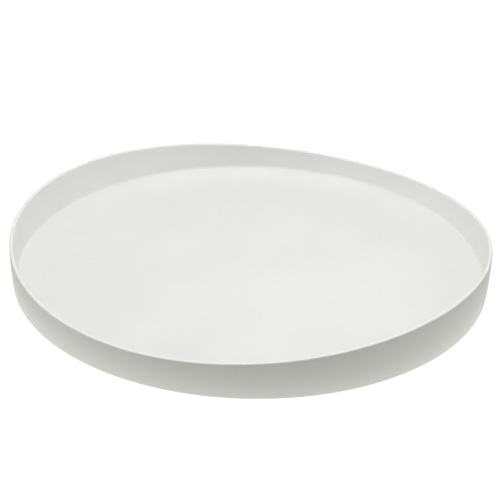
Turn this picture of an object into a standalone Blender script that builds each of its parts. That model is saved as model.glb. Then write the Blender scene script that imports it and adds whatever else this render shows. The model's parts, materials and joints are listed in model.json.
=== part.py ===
"""Lazy susan turntable: a round dish with a waved rim, turning on a caged ball bearing over a low base.

Metres, +Z up. The origin lies on the turning axis, on the surface that the feet stand on.
Stack from the bottom: rubber feet, base, riveted lower race, balls in a cage, upper race, dish.
"""

import math

import bmesh
import bpy
from mathutils import Matrix, Vector

# Gaps that keep neighbouring pieces apart
SEAT_GAP = 0.0003  # between pieces that rest on each other or are fastened together
TURN_GAP = 0.0004  # upright, between the retaining washer and the base's hub
PIVOT_GAP = 0.0002  # sideways, between the dish's centre boss and the bush
SKIRT_GAP = 0.0015  # upright, between the base's skirt and the dish
GROOVE_GAP = 0.0006  # sideways, between a race's channel and the relief cut for it
HEAD_GAP = 0.0008  # sideways, between the cage and the heads of the screws and rivets
FOOT_GAP = 0.001  # sideways, between a foot and the round corner of the base

# Dish
TRAY_RADIUS = 0.190
TRAY_FLOOR = 0.0024
RIM_HEIGHT = 0.0297  # mean height of the rim above the dish's lower edge
RIM_WAVE = 0.0062  # two crests and two dips around the rim
RIM_WAVE_CREST = math.radians(150.0)
RIM_TILT = 0.0032  # one side of the rim stands higher than the other
RIM_TILT_SIDE = math.radians(-95.0)
LIP = 0.003  # the wall's thickness at the rim, which is fully round
WALL_FOOT = 0.0039  # the wall's thickness where it meets the well
WALL_LEAN = 0.0014  # how far the wall's foot stands inside its rim
WELL_FILLET = 0.004
LOWER_EDGE_RADIUS = 0.0012
EDGE_DROP = 0.0011  # from the underside down to the wall's lower edge
PAD_HEIGHT = 0.0026
PAD_MARGIN = 0.0035  # beyond the upper race
RIB_COUNT = 12
RIB_WIDTH = 0.002
RIB_HEIGHT = 0.0009
RIB_START = 0.006  # from the base's skirt out to the inner end of a rib
RING_WIDTH = 0.0022
RING_HEIGHT = 0.0007
HOLE_COVER = 0.0015  # left between the well and the end of a screw hole

# Ball bearing
BALL_COUNT = 12
BALL_RADIUS = 0.003
BALL_GAP = 0.0003  # between a ball and the bottom of each groove
BALL_CIRCLE = 0.062
GROOVE_SLACK = 0.0005  # the groove's radius over the ball's
GROOVE_DEPTH = 0.0014
RACE_SHEET = 0.0012
RACE_EDGE = 0.0014  # from a screw or rivet head to the edge of its race
CAGE_WALL = 0.0014  # beside a pocket
CAGE_THICKNESS = 0.002
POCKET_GAP = 0.0003

# Base
BASE_WALL = 0.0025
BASE_WEB = 0.0018  # the base's floor under the relief for the lower race
BASE_CORNER = 0.002
SKIRT_ROOM = 0.008  # from the lower race out to the skirt
HUB_WALL = 0.0045
HUB_ROOF = 0.0023
FOOT_COUNT = 6
FOOT_RADIUS = 0.007
FOOT_THICKNESS = 0.0022
FOOT_STAND = 0.0012  # how far the feet hold the base off the surface
FOOT_CHAMFER = 0.0004

# Pivot
BOSS_RADIUS = 0.006
BUSH_WALL = 0.0018
BUSH_FLANGE = 0.0027  # beyond the sleeve
BUSH_FLANGE_THICKNESS = 0.001
WASHER_OVERLAP = 0.0032  # under the hub, beyond its hole
WASHER_THICKNESS = 0.0012
WASHER_ROOM = 0.002  # round the washer, inside the hub

# Fasteners
FIXING_COUNT = 4
FIXING_START = math.radians(45.0)
CENTRE_SHANK = 0.0019
CENTRE_HEAD_RADIUS = 0.0042
CENTRE_HEAD_HEIGHT = 0.0017
CENTRE_HEAD_SINK = 0.0004  # above the base's underside
SCREW_SHANK = 0.0014
SCREW_HEAD_RADIUS = 0.0026
SCREW_HEAD_HEIGHT = 0.0015
RIVET_SHANK = 0.0015
RIVET_HEAD_RADIUS = 0.0028
RIVET_HEAD_HEIGHT = 0.001
CROSS_MARGIN = 0.0008  # from an arm of the cross recess to the head's edge
CROSS_WIDTH = 0.0008
CROSS_DEPTH = 0.0009

# Facets
TRAY_SEGMENTS = 48
RACE_SEGMENTS = 48
BASE_SEGMENTS = 36
SMALL_SEGMENTS = 16
TINY_SEGMENTS = 12
BALL_SEGMENTS = 12
BALL_RINGS = 6

# Radii worked out from the ball circle outwards and inwards
GROOVE_RADIUS = BALL_RADIUS + GROOVE_SLACK
CHANNEL_RADIUS = GROOVE_RADIUS + RACE_SHEET
CHANNEL_HALF = CHANNEL_RADIUS + GROOVE_GAP
POCKET_RADIUS = BALL_RADIUS + POCKET_GAP
CAGE_INNER = BALL_CIRCLE - POCKET_RADIUS - CAGE_WALL
CAGE_OUTER = BALL_CIRCLE + POCKET_RADIUS + CAGE_WALL
SCREW_CIRCLE = CAGE_INNER - HEAD_GAP - SCREW_HEAD_RADIUS
RIVET_CIRCLE = CAGE_OUTER + HEAD_GAP + RIVET_HEAD_RADIUS
RACE_BORE = SCREW_CIRCLE - SCREW_HEAD_RADIUS - RACE_EDGE
RACE_RADIUS = RIVET_CIRCLE + RIVET_HEAD_RADIUS + RACE_EDGE
PAD_RADIUS = RACE_RADIUS + PAD_MARGIN
BASE_RADIUS = RACE_RADIUS + SKIRT_ROOM + BASE_WALL
FOOT_CIRCLE = BASE_RADIUS - BASE_CORNER - FOOT_GAP - FOOT_RADIUS
RING_RADIUS = (BASE_RADIUS + TRAY_RADIUS) / 2.0
HUB_HOLE = BOSS_RADIUS + PIVOT_GAP + BUSH_WALL + SEAT_GAP
WASHER_RADIUS = HUB_HOLE + WASHER_OVERLAP
HUB_RECESS = WASHER_RADIUS + WASHER_ROOM
HUB_RADIUS = HUB_RECESS + HUB_WALL

# Levels worked out from the surface that the feet stand on, upwards
BASE_UNDER = FOOT_STAND
BASE_TOP = BASE_UNDER + BASE_WEB + GROOVE_DEPTH
LOWER_FACE = BASE_TOP + SEAT_GAP + RACE_SHEET
BALL_LEVEL = LOWER_FACE - GROOVE_DEPTH + BALL_GAP + BALL_RADIUS
UPPER_FACE = 2.0 * BALL_LEVEL - LOWER_FACE
PAD_UNDER = UPPER_FACE + RACE_SHEET + SEAT_GAP
TRAY_UNDER = PAD_UNDER + PAD_HEIGHT
WELL_LEVEL = TRAY_UNDER + TRAY_FLOOR
HOLE_END = WELL_LEVEL - HOLE_COVER
TRAY_EDGE = TRAY_UNDER - EDGE_DROP
RIM_LEVEL = TRAY_EDGE + RIM_HEIGHT
SKIRT_TOP = TRAY_UNDER - SKIRT_GAP
WASHER_UNDER = BASE_UNDER + CENTRE_HEAD_SINK + CENTRE_HEAD_HEIGHT + SEAT_GAP
WASHER_TOP = WASHER_UNDER + WASHER_THICKNESS
BOSS_END = WASHER_TOP + SEAT_GAP
HUB_CEILING = WASHER_TOP + TURN_GAP
HUB_TOP = HUB_CEILING + HUB_ROOF

PARTS = "lazy_susan_turntable"
CUTTERS = "cutters"


def clear_scene():
    """Removes every object, and leaves one collection for the parts and one for the cutters."""
    for obj in list(bpy.data.objects):
        bpy.data.objects.remove(obj)
    for name in (PARTS, CUTTERS):
        bpy.context.scene.collection.children.link(bpy.data.collections.new(name))


def material(name, colour, roughness, metallic=0.0):
    """A Principled material."""
    made = bpy.data.materials.new(name)
    made.use_nodes = True
    shader = made.node_tree.nodes["Principled BSDF"]
    shader.inputs["Base Color"].default_value = (*colour, 1.0)
    shader.inputs["Roughness"].default_value = roughness
    shader.inputs["Metallic"].default_value = metallic
    return made


def place(obj, finish=None, parent=None):
    """Links an object into the parts' collection, with its material and its parent."""
    bpy.data.collections[PARTS].objects.link(obj)
    if finish is not None:
        obj.data.materials.append(finish)
    obj.parent = parent
    return obj


def pivot(name, parent=None, level=0.0):
    """An empty on the turning axis, which carries the pieces that move together."""
    empty = bpy.data.objects.new(name, None)
    empty.location.z = level
    return place(empty, parent=parent)


def arc(centre, radius, start, end, steps):
    """Points on an arc in the (r, z) half-plane, with both ends; degrees from +r towards +z."""
    angles = [math.radians(start + (end - start) * i / steps) for i in range(steps + 1)]
    return [(centre[0] + radius * math.cos(a), centre[1] + radius * math.sin(a)) for a in angles]


def around(count, radius, start=0.0):
    """(x, y, angle) of places spaced evenly round the turning axis."""
    angles = [start + 2.0 * math.pi * i / count for i in range(count)]
    return [(radius * math.cos(a), radius * math.sin(a), a) for a in angles]


def freeze(obj):
    """Replaces the object's mesh with what its modifiers make of it, shaded smooth between sharp edges."""
    graph = bpy.context.evaluated_depsgraph_get()
    mesh = bpy.data.meshes.new_from_object(obj.evaluated_get(graph))
    obj.modifiers.clear()
    obj.data = mesh
    mesh.shade_smooth()
    mesh.set_sharp_from_angle(angle=math.radians(35.0))


def turned(name, profile, segments, finish, parent, ring=False):
    """A part turned about Z from (r, z) points that run down its outer side; a ring's ends meet."""
    edges = [(i, i + 1) for i in range(len(profile) - 1)]
    if ring:
        edges.append((len(profile) - 1, 0))
    mesh = bpy.data.meshes.new(name)
    mesh.from_pydata([(r, 0.0, z) for r, z in profile], edges, [])
    obj = place(bpy.data.objects.new(name, mesh), finish, parent)
    screw = obj.modifiers.new("turn", "SCREW")
    screw.steps = screw.render_steps = segments
    screw.use_merge_vertices = True
    screw.merge_threshold = 0.00001
    freeze(obj)
    return obj


def spread(first, name, parent, places, level=0.0):
    """Puts an object at the first place, and one that shares its mesh at each other, all turned outwards."""
    for number, (x, y, angle) in enumerate(places, 1):
        obj = first
        if number > 1:
            obj = place(bpy.data.objects.new(f"{name}_{number}", first.data), parent=parent)
        obj.location = (x, y, level)
        obj.rotation_euler.z = angle


def helper(name, bm):
    """A cutter or a piece to join, which isn't a part itself."""
    mesh = bpy.data.meshes.new(name)
    bm.to_mesh(mesh)
    bm.free()
    obj = bpy.data.objects.new(name, mesh)
    obj.hide_render = True
    obj.display_type = "WIRE"
    bpy.data.collections[CUTTERS].objects.link(obj)
    return obj


def cylinders(name, places, radius, low, high, segments):
    """A helper with an upright cylinder at each place."""
    bm = bmesh.new()
    for x, y, _angle in places:
        bmesh.ops.create_cone(
            bm,
            cap_ends=True,
            segments=segments,
            radius1=radius,
            radius2=radius,
            depth=high - low,
            matrix=Matrix.Translation((x, y, (low + high) / 2.0)),
        )
    return helper(name, bm)


def combine(obj, other, operation, crossing=False):
    """A Boolean of obj with a helper; crossing says that the helper's own shapes overlap."""
    boolean = obj.modifiers.new(other.name, "BOOLEAN")
    boolean.operation = operation
    boolean.object = other
    boolean.use_self = crossing


def rim_lift(angle):
    """How far the rim stands above its mean height at this angle round the dish."""
    wave = RIM_WAVE * math.cos(2.0 * (angle - RIM_WAVE_CREST))
    return wave + RIM_TILT * math.cos(angle - RIM_TILT_SIDE)


def wall_outside(share):
    """Radius of the wall's outside at this share of its height: upright at the rim, leaning in below."""
    return TRAY_RADIUS - WALL_LEAN * (1.0 - share) ** 2


def tray_profile():
    """Half section of the dish before its rim is waved, from the centre of the well out, round and back."""
    lip = LIP / 2.0
    straight = RIM_HEIGHT - lip
    foot_share = (WELL_LEVEL + WELL_FILLET - TRAY_EDGE) / straight
    well_edge = wall_outside(foot_share) - WALL_FOOT - WELL_FILLET
    corner = wall_outside(0.0) - LOWER_EDGE_RADIUS
    edge_inside = wall_outside(0.0) - WALL_FOOT
    relief_top = UPPER_FACE + GROOVE_DEPTH + RACE_SHEET + SEAT_GAP
    pilot = CENTRE_SHANK + SEAT_GAP
    return [
        (0.0, WELL_LEVEL),
        *arc((well_edge, WELL_LEVEL + WELL_FILLET), WELL_FILLET, -90.0, 0.0, 4),
        *arc((TRAY_RADIUS - lip, RIM_LEVEL - lip), lip, 180.0, 0.0, 6),
        *[(wall_outside(share), TRAY_EDGE + share * straight) for share in (0.66, 0.33)],
        *arc((corner, TRAY_EDGE + LOWER_EDGE_RADIUS), LOWER_EDGE_RADIUS, 0.0, -90.0, 2),
        (edge_inside, TRAY_EDGE),
        (edge_inside, TRAY_UNDER),
        (RING_RADIUS + RING_WIDTH / 2.0, TRAY_UNDER),
        (RING_RADIUS + RING_WIDTH / 2.0, TRAY_UNDER - RING_HEIGHT),
        (RING_RADIUS - RING_WIDTH / 2.0, TRAY_UNDER - RING_HEIGHT),
        (RING_RADIUS - RING_WIDTH / 2.0, TRAY_UNDER),
        (PAD_RADIUS, TRAY_UNDER),
        (PAD_RADIUS, PAD_UNDER),
        (BALL_CIRCLE + CHANNEL_HALF, PAD_UNDER),
        (BALL_CIRCLE + CHANNEL_HALF, relief_top),
        (BALL_CIRCLE - CHANNEL_HALF, relief_top),
        (BALL_CIRCLE - CHANNEL_HALF, PAD_UNDER),
        (BOSS_RADIUS, PAD_UNDER),
        (BOSS_RADIUS, BOSS_END),
        (pilot, BOSS_END),
        (pilot, HOLE_END),
        (0.0, HOLE_END),
    ]


def wave_rim(mesh):
    """Lifts the lip to the rim's wave, and stretches the wall between the well and the lip to follow it."""
    low = WELL_LEVEL + WELL_FILLET
    high = RIM_LEVEL - LIP / 2.0
    for vertex in mesh.vertices:
        share = min(1.0, max(0.0, (vertex.co.z - low) / (high - low)))
        vertex.co.z += share * rim_lift(math.atan2(vertex.co.y, vertex.co.x))


def tray_ribs():
    """Radial ribs under the dish, from outside the base's skirt into the wall."""
    inner = BASE_RADIUS + RIB_START
    outer = wall_outside(0.0) - WALL_FOOT / 2.0
    sunk = RIB_HEIGHT + TRAY_FLOOR / 2.0
    size = Matrix.Diagonal((outer - inner, RIB_WIDTH, sunk, 1.0))
    bm = bmesh.new()
    for _x, _y, angle in around(RIB_COUNT, outer, math.pi / RIB_COUNT):
        middle = Matrix.Translation(((inner + outer) / 2.0, 0.0, TRAY_UNDER - RIB_HEIGHT + sunk / 2.0))
        bmesh.ops.create_cube(bm, size=1.0, matrix=Matrix.Rotation(angle, 4, "Z") @ middle @ size)
    return helper("rib_bars", bm)


def make_tray(finish, parent):
    """The dish: well, waved wall, ribbed underside, race pad, screw holes and centre boss."""
    tray = turned("tray", tray_profile(), TRAY_SEGMENTS, finish, parent)
    wave_rim(tray.data)
    combine(tray, tray_ribs(), "UNION")
    places = around(FIXING_COUNT, SCREW_CIRCLE, FIXING_START)
    hole = SCREW_SHANK + SEAT_GAP
    low = PAD_UNDER - PAD_HEIGHT
    combine(tray, cylinders("pilot_holes", places, hole, low, HOLE_END, TINY_SEGMENTS), "DIFFERENCE")


def make_race(name, finish, parent, tilt, holes):
    """A pressed ring with a ball groove, modelled about the balls' level. The upper one is turned over."""
    face = LOWER_FACE - BALL_LEVEL
    under = face - RACE_SHEET
    middle = (BALL_CIRCLE, face - GROOVE_DEPTH + GROOVE_RADIUS)
    groove = math.degrees(math.asin((middle[1] - face) / GROOVE_RADIUS))
    channel = math.degrees(math.asin((middle[1] - under) / CHANNEL_RADIUS))
    profile = [
        (RACE_BORE, face),
        *arc(middle, GROOVE_RADIUS, -180.0 + groove, -groove, 4),
        (RACE_RADIUS, face),
        (RACE_RADIUS, under),
        *arc(middle, CHANNEL_RADIUS, -channel, -180.0 + channel, 4),
        (RACE_BORE, under),
    ]
    race = turned(name, profile, RACE_SEGMENTS, finish, parent, ring=True)
    race.location.z = BALL_LEVEL
    race.rotation_euler.x = tilt
    combine(race, holes, "DIFFERENCE")


def circle_spline(curve, centre, radius, points):
    """Adds a closed outline to a flat curve."""
    spline = curve.splines.new("POLY")
    spline.points.add(points - 1)
    for point, (x, y, _angle) in zip(spline.points, around(points, radius)):
        point.co = (centre[0] + x, centre[1] + y, 0.0, 1.0)
    spline.use_cyclic_u = True


def make_cage(finish, parent):
    """A flat ring with a round pocket for each ball."""
    curve = bpy.data.curves.new("ball_cage", "CURVE")
    curve.dimensions = "2D"
    curve.fill_mode = "BOTH"
    curve.extrude = CAGE_THICKNESS / 2.0
    circle_spline(curve, (0.0, 0.0), CAGE_OUTER, RACE_SEGMENTS)
    circle_spline(curve, (0.0, 0.0), CAGE_INNER, RACE_SEGMENTS)
    for x, y, _angle in around(BALL_COUNT, BALL_CIRCLE):
        circle_spline(curve, (x, y), POCKET_RADIUS, TINY_SEGMENTS)
    return place(bpy.data.objects.new("ball_cage", curve), finish, parent)


def make_balls(finish, cage):
    """The balls, each with its poles on the radial axis that it rolls about."""
    bm = bmesh.new()
    bmesh.ops.create_uvsphere(bm, u_segments=BALL_SEGMENTS, v_segments=BALL_RINGS, radius=BALL_RADIUS)
    mesh = bpy.data.meshes.new("ball")
    bm.to_mesh(mesh)
    bm.free()
    mesh.shade_smooth()
    mesh.materials.append(finish)
    for number, (x, y, _angle) in enumerate(around(BALL_COUNT, BALL_CIRCLE), 1):
        ball = place(bpy.data.objects.new(f"ball_{number:02d}", mesh), parent=cage)
        ball.location = (x, y, 0.0)
        ball.rotation_mode = "QUATERNION"
        ball.rotation_quaternion = Vector((x, y, 0.0)).to_track_quat("Z", "Y")


def base_profile():
    """Section of the base: hub with its washer recess, floor with the relief for the race, and skirt."""
    relief = BASE_TOP - GROOVE_DEPTH
    corner = (BASE_RADIUS - BASE_CORNER, BASE_UNDER + BASE_CORNER)
    return [
        (HUB_HOLE, HUB_TOP),
        (HUB_RADIUS, HUB_TOP),
        (HUB_RADIUS, BASE_TOP),
        (BALL_CIRCLE - CHANNEL_HALF, BASE_TOP),
        (BALL_CIRCLE - CHANNEL_HALF, relief),
        (BALL_CIRCLE + CHANNEL_HALF, relief),
        (BALL_CIRCLE + CHANNEL_HALF, BASE_TOP),
        (BASE_RADIUS - BASE_WALL, BASE_TOP),
        (BASE_RADIUS - BASE_WALL, SKIRT_TOP),
        (BASE_RADIUS, SKIRT_TOP),
        *arc(corner, BASE_CORNER, 0.0, -90.0, 3),
        (HUB_RECESS, BASE_UNDER),
        (HUB_RECESS, HUB_CEILING),
        (HUB_HOLE, HUB_CEILING),
    ]


def make_base(finish, parent, rivets, feet):
    """The base, with a recess for each foot and a stepped hole for each rivet."""
    base = turned("base", base_profile(), BASE_SEGMENTS, finish, parent, ring=True)
    below = BASE_UNDER - FOOT_THICKNESS
    recess = FOOT_THICKNESS + SEAT_GAP
    combine(
        base,
        cylinders("foot_recesses", feet, FOOT_RADIUS + SEAT_GAP, below, recess, SMALL_SEGMENTS),
        "DIFFERENCE",
    )
    hole = RIVET_SHANK + SEAT_GAP
    combine(base, cylinders("neck_holes", rivets, hole, below, HUB_TOP, TINY_SEGMENTS), "DIFFERENCE")
    head = RIVET_HEAD_RADIUS + SEAT_GAP
    sink = BASE_UNDER + RIVET_HEAD_HEIGHT + SEAT_GAP
    combine(base, cylinders("rivet_sinks", rivets, head, below, sink, TINY_SEGMENTS), "DIFFERENCE")


def make_rivets(finish, parent, rivets):
    """Rivets that clamp the lower race to the base, with a low head above and a flat one sunk below."""
    low = BASE_UNDER
    neck = BASE_UNDER + RIVET_HEAD_HEIGHT
    seat = LOWER_FACE + SEAT_GAP
    top = seat + RIVET_HEAD_HEIGHT
    shoulder = RIVET_HEAD_HEIGHT / 2.0
    profile = [
        (0.0, top),
        (RIVET_HEAD_RADIUS - shoulder, top),
        (RIVET_HEAD_RADIUS, top - shoulder),
        (RIVET_HEAD_RADIUS, seat),
        (RIVET_SHANK, seat),
        (RIVET_SHANK, neck),
        (RIVET_HEAD_RADIUS, neck),
        (RIVET_HEAD_RADIUS, low),
        (0.0, low),
    ]
    first = turned("race_rivet_1", profile, SMALL_SEGMENTS, finish, parent)
    spread(first, "race_rivet", parent, rivets)


def make_feet(finish, parent, feet):
    """Rubber pads sunk into the base."""
    profile = [
        (0.0, FOOT_THICKNESS),
        (FOOT_RADIUS, FOOT_THICKNESS),
        (FOOT_RADIUS, FOOT_CHAMFER),
        (FOOT_RADIUS - FOOT_CHAMFER, 0.0),
        (0.0, 0.0),
    ]
    first = turned("foot_1", profile, SMALL_SEGMENTS, finish, parent)
    spread(first, "foot", parent, feet)


def cross_cutter(name, radius, height):
    """A cross recess for a screw that points up, open at the underside of its head."""
    arm = 2.0 * (radius - CROSS_MARGIN)
    bm = bmesh.new()
    for size in ((arm, CROSS_WIDTH), (CROSS_WIDTH, arm)):
        box = Matrix.Diagonal((*size, 2.0 * CROSS_DEPTH, 1.0))
        bmesh.ops.create_cube(bm, size=1.0, matrix=Matrix.Translation((0.0, 0.0, -height)) @ box)
    return helper(name, bm)


def make_screw(name, finish, parent, shank, length, head_radius, head_height):
    """A pan-head screw that points up, with its origin at the seat of its head."""
    round_over = head_height / 2.0
    tip = shank / 2.0
    profile = [
        (0.0, length),
        (tip, length),
        (shank, length - tip),
        (shank, 0.0),
        (head_radius, 0.0),
        *arc((head_radius - round_over, round_over - head_height), round_over, 0.0, -90.0, 3),
        (0.0, -head_height),
    ]
    screw = turned(name, profile, TINY_SEGMENTS, finish, parent)
    combine(screw, cross_cutter(name + "_cross", head_radius, head_height), "DIFFERENCE", crossing=True)
    freeze(screw)
    return screw


def make_race_screws(finish, parent, places):
    """Screws that hold the upper race up against the dish's pad."""
    seat = UPPER_FACE - SEAT_GAP
    length = HOLE_END - SEAT_GAP - seat
    head = (SCREW_HEAD_RADIUS, SCREW_HEAD_HEIGHT)
    first = make_screw("race_screw_1", finish, parent, SCREW_SHANK, length, *head)
    spread(first, "race_screw", parent, places, seat)


def make_pivot(steel, acetal, root, turning):
    """The bush in the hub, and the washer and screw that stop the dish lifting off."""
    bore = BOSS_RADIUS + PIVOT_GAP
    sleeve = bore + BUSH_WALL
    flange_under = HUB_TOP + SEAT_GAP
    flange_top = flange_under + BUSH_FLANGE_THICKNESS
    bush = [
        (bore, flange_top),
        (sleeve + BUSH_FLANGE, flange_top),
        (sleeve + BUSH_FLANGE, flange_under),
        (sleeve, flange_under),
        (sleeve, HUB_CEILING + SEAT_GAP),
        (bore, HUB_CEILING + SEAT_GAP),
    ]
    turned("pivot_bush", bush, SMALL_SEGMENTS, acetal, root, ring=True)
    eye = CENTRE_SHANK + SEAT_GAP
    washer = [
        (eye, WASHER_TOP),
        (WASHER_RADIUS, WASHER_TOP),
        (WASHER_RADIUS, WASHER_UNDER),
        (eye, WASHER_UNDER),
    ]
    turned("retaining_washer", washer, SMALL_SEGMENTS, steel, turning, ring=True)
    seat = WASHER_UNDER - SEAT_GAP
    length = HOLE_END - SEAT_GAP - seat
    head = (CENTRE_HEAD_RADIUS, CENTRE_HEAD_HEIGHT)
    make_screw("centre_screw", steel, turning, CENTRE_SHANK, length, *head).location.z = seat


def main():
    clear_scene()
    off_white = material("off_white_plastic", (0.80, 0.80, 0.77), 0.5)
    zinc_steel = material("zinc_plated_steel", (0.62, 0.63, 0.64), 0.35, metallic=1.0)
    ball_steel = material("ball_steel", (0.72, 0.72, 0.73), 0.12, metallic=1.0)
    acetal = material("acetal", (0.78, 0.77, 0.72), 0.4)
    rubber = material("rubber", (0.06, 0.06, 0.06), 0.85)

    root = pivot("turntable")
    turning = pivot("turning_group", root)
    rolling = pivot("rolling_group", root, BALL_LEVEL)
    screws = around(FIXING_COUNT, SCREW_CIRCLE, FIXING_START)
    rivets = around(FIXING_COUNT, RIVET_CIRCLE, FIXING_START)
    feet = around(FOOT_COUNT, FOOT_CIRCLE)

    screw_hole = SCREW_SHANK + SEAT_GAP
    rivet_hole = RIVET_SHANK + SEAT_GAP
    screw_holes = cylinders("screw_holes", screws, screw_hole, BALL_LEVEL, PAD_UNDER, TINY_SEGMENTS)
    rivet_holes = cylinders("rivet_holes", rivets, rivet_hole, BASE_TOP, BALL_LEVEL, TINY_SEGMENTS)

    make_tray(off_white, turning)
    make_race("upper_race", zinc_steel, turning, math.pi, screw_holes)
    make_race_screws(zinc_steel, turning, screws)
    make_balls(ball_steel, make_cage(acetal, rolling))
    make_race("lower_race", zinc_steel, root, 0.0, rivet_holes)
    make_base(off_white, root, rivets, feet)
    make_rivets(zinc_steel, root, rivets)
    make_pivot(zinc_steel, acetal, root, turning)
    make_feet(rubber, root, feet)


main()
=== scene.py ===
"""Looks of the lazy susan turntable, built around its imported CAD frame.

Metres, +Z up, in the frame's own place. Each fine piece stands for one CAD node. Its outer radius, its levels
and its place come from that node's box. Its walls, grooves and gaps come from the values below, which are the
design's own, apart from the well's fillet and the small roundings. Rings of points are skinned into closed
meshes, holes and screw recesses are cut with Booleans, and every surface has a procedural material.
"""

import json
import math

import bmesh
import bpy
from mathutils import Matrix, Vector


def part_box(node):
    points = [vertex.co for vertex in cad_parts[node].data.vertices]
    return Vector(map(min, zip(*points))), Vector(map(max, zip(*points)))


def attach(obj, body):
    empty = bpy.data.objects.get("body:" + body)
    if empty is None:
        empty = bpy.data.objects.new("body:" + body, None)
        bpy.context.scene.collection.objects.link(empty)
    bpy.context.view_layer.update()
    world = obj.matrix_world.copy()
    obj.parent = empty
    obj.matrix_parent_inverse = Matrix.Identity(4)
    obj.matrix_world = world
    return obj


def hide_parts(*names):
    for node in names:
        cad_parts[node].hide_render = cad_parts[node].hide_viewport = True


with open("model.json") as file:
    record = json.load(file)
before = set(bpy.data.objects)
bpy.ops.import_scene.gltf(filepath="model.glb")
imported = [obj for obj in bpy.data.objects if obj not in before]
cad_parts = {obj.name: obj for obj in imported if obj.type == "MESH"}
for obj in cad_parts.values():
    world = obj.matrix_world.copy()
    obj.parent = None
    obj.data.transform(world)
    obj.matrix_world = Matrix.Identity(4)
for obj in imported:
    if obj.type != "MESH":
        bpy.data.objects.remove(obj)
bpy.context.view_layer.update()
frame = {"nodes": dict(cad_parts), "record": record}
RECORD = frame["record"]
BODY_OF = {node: body for body, nodes in RECORD["behaviour"]["bodies"].items() for node in nodes}


def middle(node):
    """The middle of a CAD node's box."""
    low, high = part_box(node)
    return (low + high) / 2.0


def half_size(node):
    """Half a round CAD node's width and half its height."""
    low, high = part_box(node)
    return (high.x - low.x) / 2.0, (high.z - low.z) / 2.0


# Repeated nodes
BALLS = [f"ball_{n:02d}" for n in range(1, 13)]
FEET = [f"foot_{n}" for n in range(1, 7)]
RACE_SCREWS = [f"race_screw_{n}" for n in range(1, 5)]
RACE_RIVETS = [f"race_rivet_{n}" for n in range(1, 5)]

# Gaps that the design keeps between neighbours
SEAT_GAP = 0.0003
PIVOT_GAP = 0.0002
GROOVE_GAP = 0.0006
POCKET_GAP = 0.0003

# Dish
TRAY_FLOOR = 0.0024
LIP = 0.003
LIP_ROUND = 0.0012
WALL_FOOT = 0.0039
WALL_LEAN = 0.0014
WELL_FILLET = 0.0024  # tighter than the CAD dish's 4 mm
LOWER_EDGE_RADIUS = 0.0012
EDGE_DROP = 0.0011
PAD_MARGIN = 0.0035
RIB_COUNT = 12
RIB_WIDTH = 0.002
RIB_HEIGHT = 0.0009
RIB_START = 0.006
RIB_SLOPE = 0.0005  # how wide a rib's side is from root to crown
RING_WIDTH = 0.0022
RING_HEIGHT = 0.0007
HOLE_COVER = 0.0015
DRAFT = 0.00015  # how far an upright moulded side leans, root to crown
EDGE_SHARE = 0.05  # of the wall's height, where its outside meets the lower edge's rounding
OUTSIDE_SHARE = 0.94  # of the wall's height, from the lip down to the last ring above that edge
EJECTOR_RADIUS = 0.0035
EJECTOR_DEPTH = 0.00012

# Ball bearing
GROOVE_SLACK = 0.0005
GROOVE_DEPTH = 0.0014
RACE_SHEET = 0.0012
RACE_PRESS = 0.0016  # radius over which the sheet turns down into its groove
RACE_EDGE = 0.0014

# Base
BASE_WALL = 0.0025
BASE_CORNER = 0.002
HUB_WALL = 0.0045
WASHER_ROOM = 0.002
BASE_MARKS = 8
FOOT_GROOVE = 0.0003
FOOT_GROOVES = (0.74, 0.5)  # where they run, as shares of the foot's radius
FOOT_CUP = (0.26, 0.16)  # its mouth and its floor, as shares of the foot's radius

# Pivot and fasteners
BOSS_RADIUS = 0.006
BUSH_WALL = 0.0018
BUSH_FLANGE = 0.0027
BUSH_FLANGE_THICKNESS = 0.001
CENTRE_SHANK = 0.0019
CENTRE_HEAD_HEIGHT = 0.0017
CENTRE_PITCH = 0.0014
SCREW_SHANK = 0.0014
SCREW_HEAD_HEIGHT = 0.0015
SCREW_PITCH = 0.0011
THREAD_CREST = 0.0002  # how far a thread stands out beyond its shank
THREAD_ROOT = 0.00015  # how far it is cut in
THREAD_START = 1.2  # turns above the seat of the head
THREAD_FLANK = 0.32  # of the pitch, from crest to root
BARE_TIP = 0.6  # length without a thread, as a share of the shank's radius
TIP_RADII = (0.55, 0.3)  # of the bevel and the end of the tip, as shares of the root's
HEAD_EDGE_START = -80.0  # degrees, where a pan head's flat end turns into its side
CROSS_REACH = 0.62  # of a recess's arms, as a share of the head's radius
CROSS_HALF_WIDTH = 0.13  # of an arm, as a share of the head's radius
CROSS_MOUTH = 1.12  # size of the recess's cutter below the head
CROSS_TAPER = 0.34  # size of the recess at its floor
CROSS_FLOOR = 0.42  # level of the floor, as a share of the head's height
CROSS_POINT = 0.3  # level of the point in the floor
RIVET_SHANK = 0.0015
RIVET_HEAD_HEIGHT = 0.001
RIVET_MOUTH = 0.8  # of the hollow end, as a share of the shank's radius
RIVET_HOLLOW = 0.5  # radius of the hollow's floor, as a share of the shank's
RIVET_HOLLOW_DEPTH = 0.75  # as a share of the head's height

# The dish's colour, a little less yellow than its material slot's; its paler lip, rubbing wear and a painted
# highlight; and the base's rubbed colour
DISH_COLOUR = (0.8, 0.8, 0.786)
DISH_LIP_WEAR_AND_HIGHLIGHT = (0.87, 0.87, 0.855)
BASE_RUBBED = (0.83, 0.83, 0.80)

# Roundings of moulded, turned and pressed corners
FINE_ROUND = 0.00012
SMALL_ROUND = 0.00025
ROUND = 0.0004
DRILL_LIFT = 0.1  # of a mouth's rounding: how far it passes the face, so as not to graze it

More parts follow.
